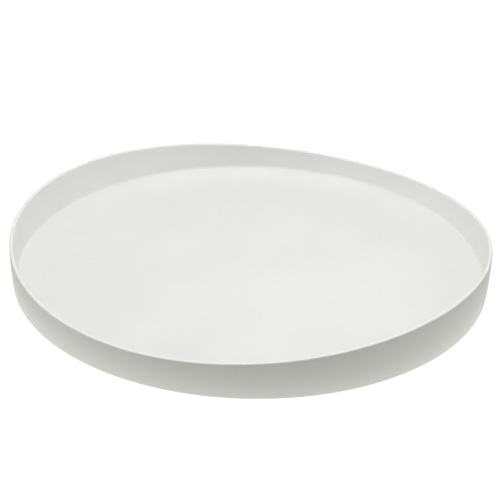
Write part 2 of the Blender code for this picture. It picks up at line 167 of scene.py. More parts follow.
# Facets
FREE_COLUMNS = 22  # of the dish between one rib's side and the next rib's
RIB_STEPS = 5
CORNER_STEPS = 5
WELL_RINGS = 8
FILLET_STEPS = 14
LIP_STEPS = 9
WALL_STEPS = 14
GROOVE_STEPS = 10
FOLD_STEPS = 8
DOME_STEPS = 10
HEAD_STEPS = 6
BIG_SEGMENTS = 240
SMALL_SEGMENTS = 64
THREAD_SEGMENTS = 32
THREAD_STEPS = 12  # rings to each turn of a thread
BALL_CUTS = 14
LONGEST_RUN = 0.004  # of a flat moulded face between two rings
SAME_PLACE = 0.000001  # points closer than this are one point
ON_AXIS = 0.0000001  # a point nearer the axis than this is on it
SLOPE_STEP = 0.01  # of the wall's height, over which its slope is taken
SHARP_ANGLE = math.radians(38.0)  # between faces, above which their edge is shaded sharp

# Places read from the frame
TRAY_LOW, TRAY_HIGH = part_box("tray")
TRAY_RADIUS = TRAY_HIGH.x
BOSS_END = TRAY_LOW.z
WELL_LEVEL = next(m["pos_m"][2] for m in RECORD["mounts"] if m["name"] == "well_face")
TRAY_UNDER = WELL_LEVEL - TRAY_FLOOR
TRAY_EDGE = TRAY_UNDER - EDGE_DROP
HOLE_END = WELL_LEVEL - HOLE_COVER
BALL_RADIUS = half_size("ball_01")[0]
BALL_CIRCLE = middle("ball_01").x
RACE_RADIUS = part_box("lower_race")[1].x
RACE_BORE = middle("race_screw_1").xy.length - half_size("race_screw_1")[0] - RACE_EDGE
LOWER_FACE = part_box("lower_race")[1].z
UPPER_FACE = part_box("upper_race")[0].z
UPPER_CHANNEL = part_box("upper_race")[1].z
PAD_UNDER = UPPER_FACE + RACE_SHEET + SEAT_GAP
PAD_RADIUS = RACE_RADIUS + PAD_MARGIN
BASE_LOW, BASE_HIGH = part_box("base")
BASE_RADIUS = BASE_HIGH.x
BASE_UNDER = BASE_LOW.z
SKIRT_TOP = BASE_HIGH.z
BASE_TOP = LOWER_FACE - RACE_SHEET - SEAT_GAP
RING_RADIUS = (BASE_RADIUS + TRAY_RADIUS) / 2.0
RIB_INNER = BASE_RADIUS + RIB_START
BUSH_LOW, BUSH_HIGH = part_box("pivot_bush")
HUB_CEILING = BUSH_LOW.z - SEAT_GAP
HUB_TOP = BUSH_HIGH.z - BUSH_FLANGE_THICKNESS - SEAT_GAP
WASHER_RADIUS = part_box("retaining_washer")[1].x
HUB_HOLE = BOSS_RADIUS + PIVOT_GAP + BUSH_WALL + SEAT_GAP
HUB_RECESS = WASHER_RADIUS + WASHER_ROOM
HUB_RADIUS = HUB_RECESS + HUB_WALL
GROOVE_RADIUS = BALL_RADIUS + GROOVE_SLACK
CHANNEL_HALF = GROOVE_RADIUS + RACE_SHEET + GROOVE_GAP

# Studio
FLOOR_RADIUS = 6.0
FLOOR_DROP = 0.0001
PAPER_WHITE = (1.0, 1.0, 1.0, 1.0)
PAPER_GLOW = 1.05
TABLE_COLOUR = (0.03, 0.03, 0.03, 1.0)
GLOW_COLOUR = (0.98, 1.0, 0.92, 1.0)
TABLE_GLOW = (  # distance from the middle, strength
    (0.0, 0.45),
    (0.160, 0.53),
    (0.185, 0.53),
    (0.195, 1.40),
    (0.205, 1.15),
    (0.230, 0.62),
    (0.300, 0.62),
    (0.450, 0.0),
)
ROOM_COLOUR = (0.985, 1.0, 0.955, 1.0)
ROOM_LIGHT = (  # where a lobe comes from, its sharpness and its strength
    ((0.0, -1.0, 0.12), 6.0, 0.76),
    ((-1.0, 0.0, 0.35), 3.0, 0.79),
    ((1.0, 0.0, 0.35), 3.0, 0.33),
)
MIDDLE = (0.0, 0.0, WELL_LEVEL)
SOFTBOXES = (  # name, place, what it faces, width, height, watts
    ("top_light", (0.0, 0.15, 1.5), MIDDLE, 1.6, 1.6, 10.6),
    ("key_light", (0.0, 0.0, 1.0), MIDDLE, 0.4, 0.4, 0.5),
    ("left_light", (-1.4, 0.3, 1.1), MIDDLE, 1.0, 1.6, 4.8),
    ("right_light", (1.4, 0.3, 1.1), MIDDLE, 1.0, 1.6, 9.8),
    ("fill_light", (0.0, -0.15, 0.42), (0.0, TRAY_RADIUS, 0.03), 0.45, 0.16, 0.54),
)

# Camera, as the photograph was taken
CAMERA_ELEVATION = math.radians(28.88)
CAMERA_DISTANCE = 1.187  # from the centre of the dish's lower edge
CAMERA_LENS = 106.25  # mm
CAMERA_SENSOR = 36.0  # mm wide
CAMERA_CLIP = (0.05, 50.0)  # the nearest and the farthest that it draws
CAMERA_ROLL = math.radians(1.217)
AIM_SIDE = -0.0006
AIM_ABOVE = 0.0163


# ---------------------------------------------------------------- outlines, as (r, z) points


def arc(centre, radius, start, end, steps):
    """Points on an arc, with both ends; degrees from +r towards +z."""
    angles = [math.radians(start + (end - start) * i / steps) for i in range(steps + 1)]
    return [(centre[0] + radius * math.cos(a), centre[1] + radius * math.sin(a)) for a in angles]


def rounded(corners, closed=False):
    """The outline through these (r, z, radius) corners, each rounded by its radius."""
    points = []
    for index, (r, z, radius) in enumerate(corners):
        at_end = index in (0, len(corners) - 1) and not closed
        if radius == 0.0 or at_end:
            points.append((r, z))
            continue
        here = Vector((r, z))
        before = (Vector(corners[index - 1][:2]) - here).normalized()
        after = (Vector(corners[(index + 1) % len(corners)][:2]) - here).normalized()
        half = before.angle(after) / 2.0
        centre = here + (before + after).normalized() * (radius / math.sin(half))
        start = here + before * (radius / math.tan(half)) - centre
        end = here + after * (radius / math.tan(half)) - centre
        first = math.degrees(math.atan2(start.y, start.x))
        turn = math.degrees(math.atan2(end.y, end.x)) - first
        turn = (turn + 180.0) % 360.0 - 180.0
        points += arc(centre, radius, first, first + turn, CORNER_STEPS)
    return points


def spaced(points, longest, closed=False):
    """The same outline with points added, so that no straight run is longer than this."""
    result = []
    following = points[1:] + points[:1] if closed else points[1:]
    for one, other in zip(points, following):
        count = max(1, math.ceil(math.dist(one, other) / longest))
        for i in range(count):
            share = i / count
            result.append((one[0] + (other[0] - one[0]) * share, one[1] + (other[1] - one[1]) * share))
    return result if closed else [*result, points[-1]]


def smooth(share):
    """An S-shaped step from 0 to 1."""
    share = min(1.0, max(0.0, share))
    return share * share * (3.0 - 2.0 * share)


# ---------------------------------------------------------------- meshes


def around(count, radius, start=0.0):
    """(x, y) of places spaced evenly round the turning axis."""
    angles = [start + 2.0 * math.pi * i / count for i in range(count)]
    return [(radius * math.cos(a), radius * math.sin(a)) for a in angles]


def turned_rows(outline, segments, shift=(0.0, 0.0)):
    """Rings of points that turn an outline about an upright axis; a point on the axis stays one point."""
    rows = []
    for r, z in outline:
        if r < ON_AXIS:
            rows.append([(*shift, z)])
        else:
            rows.append([(x + shift[0], y + shift[1], z) for x, y in around(segments, r)])
    return rows


def skin(bm, rows, ring=False):
    """Adds a closed surface over rings that have equally many points; a row of one point closes an end."""
    rings = [[bm.verts.new(point) for point in row] for row in rows]
    pairs = list(zip(rings, rings[1:]))
    if ring:
        pairs.append((rings[-1], rings[0]))
    for one, other in pairs:
        count = max(len(one), len(other))
        for i in range(count):
            j = (i + 1) % count
            corners = (one[i % len(one)], one[j % len(one)], other[j % len(other)], other[i % len(other)])
            bm.faces.new(list(dict.fromkeys(corners)))


def made(name, bm):
    """An object in the scene from a bmesh, its faces turned outwards."""
    bmesh.ops.recalc_face_normals(bm, faces=bm.faces)
    mesh = bpy.data.meshes.new(name)
    bm.to_mesh(mesh)
    bm.free()
    obj = bpy.data.objects.new(name, mesh)
    bpy.context.scene.collection.objects.link(obj)
    return obj


def skinned(name, rows, ring=False):
    """An object with one skinned surface."""
    bm = bmesh.new()
    skin(bm, rows, ring)
    return made(name, bm)


def turned(name, outline, segments, ring=False):
    """An object turned about the Z axis."""
    return skinned(name, turned_rows(outline, segments), ring)


def bore(radius, low, high, mouth, flare_low=True, flare_high=True):
    """Outline of a drill that runs past both ends; where it flares, it leaves the hole's edge rounded."""
    past = ROUND
    lift = mouth * DRILL_LIFT
    outline = [(0.0, high + past)]
    if flare_high:
        outline.append((radius + mouth, high + past))
        outline += arc((radius + mouth, high - mouth + lift), mouth, 90.0, 180.0, CORNER_STEPS)
    else:
        outline += [(radius, high + past)]
    if flare_low:
        outline += arc((radius + mouth, low + mouth - lift), mouth, 180.0, 270.0, CORNER_STEPS)
        outline.append((radius + mouth, low - past))
    else:
        outline += [(radius, low - past)]
    return [*outline, (0.0, low - past)]


def cut(obj, drills, segments=SMALL_SEGMENTS):
    """Cuts turned drills out of an object; each is an outline and the places that it is put at."""
    bm = bmesh.new()
    for outline, places in drills:
        for place in places:
            skin(bm, turned_rows(outline, segments, place))
    subtract(obj, made("drills", bm))


def subtract(obj, cutter):
    """Takes a cutter out of an object, for good, and welds the points that the cut leaves in one place."""
    boolean = obj.modifiers.new("cut", "BOOLEAN")
    boolean.operation = "DIFFERENCE"
    boolean.object = cutter
    graph = bpy.context.evaluated_depsgraph_get()
    mesh = bpy.data.meshes.new_from_object(obj.evaluated_get(graph))
    obj.modifiers.clear()
    bm = bmesh.new()
    bm.from_mesh(mesh)
    bmesh.ops.remove_doubles(bm, verts=bm.verts, dist=SAME_PLACE)
    bm.to_mesh(mesh)
    bm.free()
    obj.data = mesh
    bpy.data.objects.remove(cutter)


def install(obj, node, finish):
    """Shades and finishes a piece, and lets it stand for a CAD node and ride on that node's body."""
    if not obj.data.materials:
        obj.data.materials.append(finish)
        obj.data.shade_smooth()
        obj.data.set_sharp_from_angle(angle=SHARP_ANGLE)
    normals = obj.modifiers.new("face_weighted_normals", "WEIGHTED_NORMAL")
    normals.keep_sharp = True
    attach(obj, BODY_OF[node])
    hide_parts(node)


def install_copies(first, nodes, finish, level=None):
    """Puts a piece at the middle of the first CAD node's box, and copies with the same mesh at the others."""
    for number, node in enumerate(nodes):
        obj = first
        if number:
            obj = bpy.data.objects.new(node + "_fine", first.data)
            bpy.context.scene.collection.objects.link(obj)
        place = middle(node)
        obj.location = (place.x, place.y, place.z if level is None else level)
        obj.rotation_euler.z = math.atan2(place.y, place.x)
        install(obj, node, finish)


# ---------------------------------------------------------------- dish


def rim_waves():
    """Mean level of the CAD rim, and the cosine and sine parts of its first two waves round the dish."""
    tops = {}
    for vertex in frame["nodes"]["tray"].data.vertices:
        if vertex.co.z > WELL_LEVEL + WELL_FILLET:
            column = round(math.degrees(math.atan2(vertex.co.y, vertex.co.x)), 1)
            tops[column] = max(tops.get(column, 0.0), vertex.co.z)
    waves = []
    for order in (1, 2):
        for turn in (math.cos, math.sin):
            parts = [top * turn(order * math.radians(column)) for column, top in tops.items()]
            waves.append((order, turn, 2.0 * sum(parts) / len(parts)))
    return sum(tops.values()) / len(tops), waves


RIM_LEVEL, RIM_WAVES = rim_waves()
RIM_STRAIGHT = RIM_LEVEL - TRAY_EDGE - LIP / 2.0


def rim_lift(angle):
    """How far the rim stands above its mean level at this angle."""
    return sum(size * turn(order * angle) for order, turn, size in RIM_WAVES)


def wall_outside(share):
    """Radius of the wall's outside at this share of its height."""
    return TRAY_RADIUS - WALL_LEAN * (1.0 - share) ** 2


def wall_inside(share, foot):
    """Radius of the wall's inside: the wall thins evenly from its foot in the well up to the lip."""
    thinned = LIP + (WALL_FOOT - LIP) * ((1.0 - share) / (1.0 - foot)) ** 2
    return wall_outside(share) - thinned


def dish_top():
    """Outline from the centre of the well out to the wall, up, over the lip and down the outside."""
    foot = (WELL_LEVEL + WELL_FILLET - TRAY_EDGE) / RIM_STRAIGHT
    run = wall_inside(foot + SLOPE_STEP, foot) - wall_inside(foot, foot)
    lean = math.atan2(run, SLOPE_STEP * RIM_STRAIGHT)
    centre = (wall_inside(foot, foot) - WELL_FILLET * math.cos(lean), WELL_LEVEL + WELL_FILLET)
    lip = RIM_LEVEL - LIP_ROUND
    inside = [foot + (1.0 - foot) * i / WALL_STEPS for i in range(1, WALL_STEPS)]
    outside = [1.0 - OUTSIDE_SHARE * i / WALL_STEPS for i in range(1, WALL_STEPS + 1)]
    return [
        *[(centre[0] * i / WELL_RINGS, WELL_LEVEL) for i in range(WELL_RINGS)],
        *arc(centre, WELL_FILLET, -90.0, -math.degrees(lean), FILLET_STEPS),
        *[(wall_inside(share, foot), TRAY_EDGE + share * RIM_STRAIGHT) for share in inside],
        *arc((TRAY_RADIUS - LIP + LIP_ROUND, lip), LIP_ROUND, 180.0, 90.0, LIP_STEPS),
        *arc((TRAY_RADIUS - LIP_ROUND, lip), LIP_ROUND, 90.0, 0.0, LIP_STEPS),
        *[(wall_outside(share), TRAY_EDGE + share * RIM_STRAIGHT) for share in outside],
    ]


def dish_under():
    """Outline of the underside, from the wall's lower edge in to the end of the centre screw's hole."""
    edge = wall_outside(0.0) - WALL_FOOT
    ring = RING_WIDTH / 2.0
    relief = UPPER_CHANNEL + SEAT_GAP
    relief_outer = BALL_CIRCLE + CHANNEL_HALF
    relief_inner = BALL_CIRCLE - CHANNEL_HALF
    pilot = CENTRE_SHANK + SEAT_GAP
    corners = [
        (wall_outside(EDGE_SHARE), TRAY_EDGE + EDGE_SHARE * RIM_STRAIGHT, 0.0),
        (wall_outside(0.0), TRAY_EDGE, LOWER_EDGE_RADIUS),
        (edge, TRAY_EDGE, ROUND),
        (edge - DRAFT, TRAY_UNDER, ROUND),
        (RING_RADIUS + ring + DRAFT, TRAY_UNDER, SMALL_ROUND),
        (RING_RADIUS + ring, TRAY_UNDER - RING_HEIGHT, SMALL_ROUND),
        (RING_RADIUS - ring, TRAY_UNDER - RING_HEIGHT, SMALL_ROUND),
        (RING_RADIUS - ring - DRAFT, TRAY_UNDER, SMALL_ROUND),
        *[(RIB_INNER + RIB_SLOPE * (1.0 - i / RIB_STEPS), TRAY_UNDER, 0.0) for i in range(RIB_STEPS + 1)],
        (PAD_RADIUS + DRAFT, TRAY_UNDER, ROUND),
        (PAD_RADIUS, PAD_UNDER, ROUND),
        (relief_outer, PAD_UNDER, SMALL_ROUND),
        (relief_outer - DRAFT, relief, SMALL_ROUND),
        (relief_inner + DRAFT, relief, SMALL_ROUND),
        (relief_inner, PAD_UNDER, SMALL_ROUND),
        (BOSS_RADIUS + DRAFT, PAD_UNDER, 2.0 * ROUND),
        (BOSS_RADIUS, BOSS_END, ROUND),
        (pilot, BOSS_END, SMALL_ROUND),
        (pilot, HOLE_END, SMALL_ROUND),
        (0.0, HOLE_END, 0.0),
    ]
    return spaced(rounded(corners)[1:], LONGEST_RUN)


def rib_offsets():
    """Sideways places of the columns on a rib, from one foot over the crown to the other."""
    side = [RIB_WIDTH / 2.0 + RIB_SLOPE * (0.5 - i / RIB_STEPS) for i in range(RIB_STEPS + 1)]
    return [*[-offset for offset in side], 0.0, *reversed(side)]


def dish_columns(radius):
    """Angles of the dish's columns at a radius. On a rib they keep their distance from its middle."""
    beside = [math.asin(offset / max(radius, RIB_INNER)) for offset in rib_offsets()]
    pitch = 2.0 * math.pi / RIB_COUNT
    free = (pitch - 2.0 * beside[-1]) / FREE_COLUMNS
    angles = []
    for rib in range(RIB_COUNT):
        crown = pitch * (rib + 0.5)
        angles += [crown + angle for angle in beside]
        angles += [crown + beside[-1] + free * i for i in range(1, FREE_COLUMNS)]
    return angles


def rib_shares():
    """How much of the rib's height each column of the dish has."""
    half = RIB_WIDTH / 2.0 + RIB_SLOPE / 2.0
    on_rib = [smooth((half - abs(offset)) / RIB_SLOPE) for offset in rib_offsets()]
    return (on_rib + [0.0] * (FREE_COLUMNS - 1)) * RIB_COUNT


def dish_rows():
    """Rings of the whole dish, with the rim waved and the ribs drawn down out of the underside."""
    shares = rib_shares()
    low = WELL_LEVEL + WELL_FILLET
    high = RIM_LEVEL - LIP / 2.0
    top = dish_top()
    rows = []
    for index, (r, z) in enumerate([*top, *dish_under()]):
        if r < ON_AXIS:
            rows.append([(0.0, 0.0, z)])
            continue
        raised = min(1.0, max(0.0, (z - low) / (high - low)))
        ribbed = index >= len(top) and RIB_INNER <= r < wall_outside(0.0) - WALL_FOOT
        crown = TRAY_UNDER - RIB_HEIGHT * smooth((r - RIB_INNER) / RIB_SLOPE)
        row = []
        for angle, share in zip(dish_columns(r), shares):
            level = z + raised * rim_lift(angle)
            if ribbed:
                level = min(level, TRAY_UNDER + (crown - TRAY_UNDER) * share)
            row.append((r * math.cos(angle), r * math.sin(angle), level))
        rows.append(row)
    return rows


def make_dish(finish):
    """The dish: well, waved wall and lip; below, ribs, ring, pad, relief, boss, holes and pin marks."""
    dish = skinned("tray_fine", dish_rows())
    screws = [middle(node).xy for node in RACE_SCREWS]
    pilot = bore(SCREW_SHANK + SEAT_GAP, PAD_UNDER, HOLE_END - ROUND, SMALL_ROUND, flare_high=False)
    mark = bore(EJECTOR_RADIUS, TRAY_UNDER, TRAY_UNDER + EJECTOR_DEPTH - ROUND, SMALL_ROUND, False, False)
    inner = (RIB_INNER + RING_RADIUS) / 2.0
    outer = (RING_RADIUS + TRAY_RADIUS) / 2.0
    marks = [*around(RIB_COUNT // 2, inner), *around(RIB_COUNT, outer)]
    cut(dish, [(pilot, screws), (mark, marks)])
    install(dish, "tray", finish)


# ---------------------------------------------------------------- bearing


def groove_half(sheet):
    """Half a pressed groove, from its floor to the face; sheet is 0 on its open side and 1 on its back."""
    centre = (0.0, GROOVE_RADIUS - GROOVE_DEPTH)
    reach = (GROOVE_RADIUS + RACE_PRESS) ** 2 - (centre[1] + RACE_PRESS) ** 2
    fold = (math.sqrt(reach), -RACE_PRESS)
    lean = math.degrees(math.atan2(centre[1] - fold[1], -fold[0]))
    thickness = sheet * RACE_SHEET
    return [
        *arc(centre, GROOVE_RADIUS + thickness, -90.0, lean - 180.0, GROOVE_STEPS)[1:],
        *arc(fold, RACE_PRESS - thickness, lean, 90.0, FOLD_STEPS)[1:],
    ]


def race_outline(face, side):
    """Section of a pressed race; side is 1 with the groove open above its face and -1 below."""
    half = groove_half(0.0)
    half_back = groove_half(1.0)
    flat = half[-1][0]
    bore_edge = RACE_BORE - BALL_CIRCLE
    rim_edge = RACE_RADIUS - BALL_CIRCLE
    rim = [
        (flat, 0.0, 0.0),
        (rim_edge, 0.0, ROUND),
        (rim_edge, -RACE_SHEET, FINE_ROUND),
        (flat, -RACE_SHEET, 0.0),
    ]
    inner = [
        (-flat, -RACE_SHEET, 0.0),
        (bore_edge, -RACE_SHEET, FINE_ROUND),
        (bore_edge, 0.0, ROUND),
        (-flat, 0.0, 0.0),
    ]
    outline = [
        (0.0, -GROOVE_DEPTH),
        *half,
        *rounded(rim)[1:-1],
        *reversed(half_back),
        (0.0, -GROOVE_DEPTH - RACE_SHEET),
        *[(-x, z) for x, z in half_back],
        *rounded(inner)[1:-1],
        *reversed([(-x, z) for x, z in half]),
    ]
    return [(BALL_CIRCLE + x, face + side * z) for x, z in outline]


def make_race(node, face, side, holes, hole, finish):
    """A pressed ring with its ball groove and its four holes."""
    race = turned(node + "_fine", race_outline(face, side), BIG_SEGMENTS, ring=True)
    low, high = sorted((face, face - side * RACE_SHEET))
    cut(race, [(bore(hole, low, high, SMALL_ROUND), holes)], THREAD_SEGMENTS)
    install(race, node, finish)


def make_cage(finish):
    """The flat ring that spaces the balls, each in a round pocket with softened edges."""
    low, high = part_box("ball_cage")
    inner = BALL_CIRCLE - (high.x - BALL_CIRCLE)
    corners = [
        (high.x, high.z, SMALL_ROUND),
        (high.x, low.z, SMALL_ROUND),
        (inner, low.z, SMALL_ROUND),
        (inner, high.z, SMALL_ROUND),
    ]
    cage = turned("ball_cage_fine", rounded(corners, closed=True), BIG_SEGMENTS, ring=True)
    pockets = [middle(node).xy for node in BALLS]
    cut(cage, [(bore(BALL_RADIUS + POCKET_GAP, low.z, high.z, SMALL_ROUND), pockets)])
    install(cage, "ball_cage", finish)


def make_balls(finish):
    """Twelve balls with no poles, from a cube whose cuts are blown up onto the sphere."""
    bm = bmesh.new()
    bmesh.ops.create_cube(bm, size=2.0)
    bmesh.ops.subdivide_edges(bm, edges=bm.edges, cuts=BALL_CUTS, use_grid_fill=True)
    for vertex in bm.verts:
        even = Vector([math.tan(c * math.pi / 4.0) for c in vertex.co])
        vertex.co = even.normalized() * BALL_RADIUS
    ball = made("ball_01_fine", bm)
    install_copies(ball, BALLS, finish)


# ---------------------------------------------------------------- base


def base_outline():
    """Section of the base: hub with its washer recess, floor with the race's relief, and skirt."""
    relief = BASE_TOP - GROOVE_DEPTH
    corners = [
        (HUB_HOLE, HUB_TOP, SMALL_ROUND),
        (HUB_RADIUS - DRAFT, HUB_TOP, ROUND),
        (HUB_RADIUS, BASE_TOP, ROUND),
        (BALL_CIRCLE - CHANNEL_HALF, BASE_TOP, SMALL_ROUND),
        (BALL_CIRCLE - CHANNEL_HALF + DRAFT, relief, SMALL_ROUND),
        (BALL_CIRCLE + CHANNEL_HALF - DRAFT, relief, SMALL_ROUND),
        (BALL_CIRCLE + CHANNEL_HALF, BASE_TOP, SMALL_ROUND),
        (BASE_RADIUS - BASE_WALL, BASE_TOP, 2.0 * ROUND),
        (BASE_RADIUS - BASE_WALL + DRAFT, SKIRT_TOP, ROUND),
        (BASE_RADIUS - DRAFT, SKIRT_TOP, 2.0 * ROUND),
        (BASE_RADIUS, BASE_UNDER, BASE_CORNER),
        (HUB_RECESS, BASE_UNDER, ROUND),
        (HUB_RECESS - DRAFT, HUB_CEILING, ROUND),
        (HUB_HOLE, HUB_CEILING, SMALL_ROUND),
    ]
    return spaced(rounded(corners, closed=True), LONGEST_RUN, closed=True)


def make_base(finish, rivets):
    """The base, with a recess for each foot, a stepped hole for each rivet and the marks of its mould."""
    base = turned("base_fine", base_outline(), BIG_SEGMENTS, ring=True)
    feet = [middle(node).xy for node in FEET]
    foot = half_size("foot_1")[0]
    head = half_size("race_rivet_1")[0]
    recess_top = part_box("foot_1")[1].z + SEAT_GAP
    sink_top = BASE_UNDER + RIVET_HEAD_HEIGHT + SEAT_GAP
    recess = bore(foot + SEAT_GAP, BASE_UNDER, recess_top - ROUND, SMALL_ROUND, flare_high=False)
    sink = bore(head + SEAT_GAP, BASE_UNDER, sink_top - ROUND, SMALL_ROUND, flare_high=False)
    neck = bore(RIVET_SHANK + SEAT_GAP, BASE_UNDER, BASE_TOP, FINE_ROUND, flare_low=False)
    mark = bore(EJECTOR_RADIUS, BASE_UNDER, BASE_UNDER + EJECTOR_DEPTH - ROUND, SMALL_ROUND, False, False)
    marks = around(BASE_MARKS, (HUB_RADIUS + BALL_CIRCLE) / 2.0, math.pi / BASE_MARKS)
    cut(base, [(recess, feet), (sink, rivets), (mark, marks)])
    cut(base, [(neck, rivets)], THREAD_SEGMENTS)
    install(base, "base", finish)


def make_feet(finish):
    """Soft round feet: a rounded tread with two shallow grooves and a small cup in the middle."""
    radius, half = half_size("foot_1")
    groove = FOOT_GROOVE
    floor = groove - half
    corners = [(0.0, half, 0.0), (radius, half, FINE_ROUND), (radius, -half, ROUND)]
    for share in FOOT_GROOVES:
        corners += [
            (radius * share + groove, -half, FINE_ROUND),
            (radius * share + groove / 2.0, floor, FINE_ROUND / 2.0),
            (radius * share - groove / 2.0, floor, FINE_ROUND / 2.0),
            (radius * share - groove, -half, FINE_ROUND),
        ]
    mouth, cup = FOOT_CUP
    corners += [(radius * mouth, -half, SMALL_ROUND), (radius * cup, floor, SMALL_ROUND), (0.0, floor, 0.0)]
    foot = turned("foot_1_fine", rounded(corners), SMALL_SEGMENTS)
    install_copies(foot, FEET, finish)


def make_rivets(finish):
    """Semi-tubular rivets: a low dome above, and below a tail rolled outwards round its hollow end."""
    radius, half = half_size("race_rivet_1")
    seat = half - RIVET_HEAD_HEIGHT
    neck = RIVET_HEAD_HEIGHT - half
    bulge = (radius * radius + RIVET_HEAD_HEIGHT**2) / (2.0 * RIVET_HEAD_HEIGHT)
    spread = math.degrees(math.asin(radius / bulge))
    dome = [(max(0.0, x), z) for x, z in arc((0.0, half - bulge), bulge, 90.0, 90.0 - spread, DOME_STEPS)]
    hollow = RIVET_HOLLOW_DEPTH * RIVET_HEAD_HEIGHT - half
    below = [
        (radius, seat + FINE_ROUND, 0.0),
        (radius, seat, FINE_ROUND / 2.0),
        (RIVET_SHANK, seat, FINE_ROUND),
        (RIVET_SHANK, neck, FINE_ROUND),
        (radius, neck, SMALL_ROUND),
        (radius, -half, ROUND),
        (RIVET_SHANK * RIVET_MOUTH, -half, ROUND),
        (RIVET_SHANK * RIVET_HOLLOW, hollow, FINE_ROUND),
        (0.0, hollow, 0.0),
    ]
    rivet = turned("race_rivet_1_fine", [*dome[:-1], *rounded(below)], SMALL_SEGMENTS)
    install_copies(rivet, RACE_RIVETS, finish)


# ---------------------------------------------------------------- pivot and screws


def make_bush(finish):
    """The flanged bush in the hub, with a lead-in at both ends of its bore."""
    bore_radius = BOSS_RADIUS + PIVOT_GAP
    sleeve = bore_radius + BUSH_WALL
    flange = BUSH_HIGH.z - BUSH_FLANGE_THICKNESS
    corners = [
        (bore_radius, BUSH_HIGH.z, SMALL_ROUND),
        (sleeve + BUSH_FLANGE, BUSH_HIGH.z, SMALL_ROUND),
        (sleeve + BUSH_FLANGE, flange, FINE_ROUND),
        (sleeve, flange, FINE_ROUND),
        (sleeve, BUSH_LOW.z, ROUND),
        (bore_radius, BUSH_LOW.z, SMALL_ROUND),
    ]
    bush = turned("pivot_bush_fine", rounded(corners, closed=True), SMALL_SEGMENTS, ring=True)
    install(bush, "pivot_bush", finish)


def make_washer(finish):
    """A stamped washer: its upper edges are drawn over, and its lower ones are left crisp."""
    low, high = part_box("retaining_washer")
    eye = CENTRE_SHANK + SEAT_GAP
    corners = [
        (eye, high.z, SMALL_ROUND),
        (high.x, high.z, ROUND),
        (high.x, low.z, FINE_ROUND),
        (eye, low.z, FINE_ROUND),
    ]
    washer = turned("retaining_washer_fine", rounded(corners, closed=True), SMALL_SEGMENTS, ring=True)
    install(washer, "retaining_washer", finish)


def screw_rows(head, head_height, shank, length, pitch):
    """Rings of a pan-head screw that points up from the seat of its head at z = 0."""
    turn_over = head_height / 2.0
    root = shank - THREAD_ROOT
    start = pitch * THREAD_START
    tip = length - shank * BARE_TIP
    head_outline = [
        (0.0, -head_height),
        (head - turn_over - SMALL_ROUND, -head_height + FINE_ROUND / 3.0),
        *arc((head - turn_over, turn_over - head_height), turn_over, HEAD_EDGE_START, 0.0, HEAD_STEPS),
        *arc((head - FINE_ROUND, -FINE_ROUND), FINE_ROUND, 0.0, 90.0, 2),
        *arc((root + SMALL_ROUND, SMALL_ROUND), SMALL_ROUND, -90.0, -180.0, 4),
    ]
    rows = turned_rows(head_outline, THREAD_SEGMENTS)
    count = round((tip - SMALL_ROUND) / pitch * THREAD_STEPS)
    for i in range(1, count + 1):
        z = SMALL_ROUND + (tip - SMALL_ROUND) * i / count
        fade = smooth((z - start) / pitch) * smooth((tip - z) / (pitch / 2.0))
        row = []
        for j in range(THREAD_SEGMENTS):
            turn = j / THREAD_SEGMENTS
            phase = (z / pitch - turn) % 1.0
            ridge = smooth(1.0 - abs(phase - 0.5) / THREAD_FLANK)
            radius = root + (THREAD_ROOT + THREAD_CREST) * ridge * fade
            row.append((radius * math.cos(2.0 * math.pi * turn), radius * math.sin(2.0 * math.pi * turn), z))
        rows.append(row)
    bevel, end = TIP_RADII
    point = [(root * bevel, length - FINE_ROUND), (root * end, length), (0.0, length)]
    return [*rows, *turned_rows(point, THREAD_SEGMENTS)]


def cross_cutter(head, head_height):
    """A tapered cross recess for a screw that points up, open at the underside of its head."""
    below = -head_height - ROUND
    sections = ((below, CROSS_MOUTH), (-head_height, 1.0), (-head_height * CROSS_FLOOR, CROSS_TAPER))
    rows = [[(0.0, 0.0, below)]]
    for level, size in sections:
        arm = head * CROSS_REACH * size
        half = head * CROSS_HALF_WIDTH * (0.6 + 0.4 * size)  # an arm narrows less than it shortens
        corner = [(arm, -half), (arm, half), (half, half)]
        row = []
        for quarter in range(4):
            spin = Matrix.Rotation(quarter * math.pi / 2.0, 2)
            row += [(*(spin @ Vector(point)), level) for point in corner]
        rows.append(row)
    return skinned("cross", [*rows, [(0.0, 0.0, -head_height * CROSS_POINT)]])


def make_screw(node, head_height, shank, pitch):
    """A cross-recess screw as long as its CAD node, with its head's seat at z = 0, and that seat's level."""
    low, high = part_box(node)
    head = half_size(node)[0]
    length = high.z - low.z - head_height
    screw = skinned(node + "_fine", screw_rows(head, head_height, shank, length, pitch))
    subtract(screw, cross_cutter(head, head_height))
    return screw, low.z + head_height


def make_screws(finish):
    """The centre screw, and the four that hold the upper race."""
    centre, seat = make_screw("centre_screw", CENTRE_HEAD_HEIGHT, CENTRE_SHANK, CENTRE_PITCH)
    centre.location.z = seat
    install(centre, "centre_screw", finish)
    first, seat = make_screw("race_screw_1", SCREW_HEAD_HEIGHT, SCREW_SHANK, SCREW_PITCH)
    install_copies(first, RACE_SCREWS, finish, seat)


# ---------------------------------------------------------------- materials


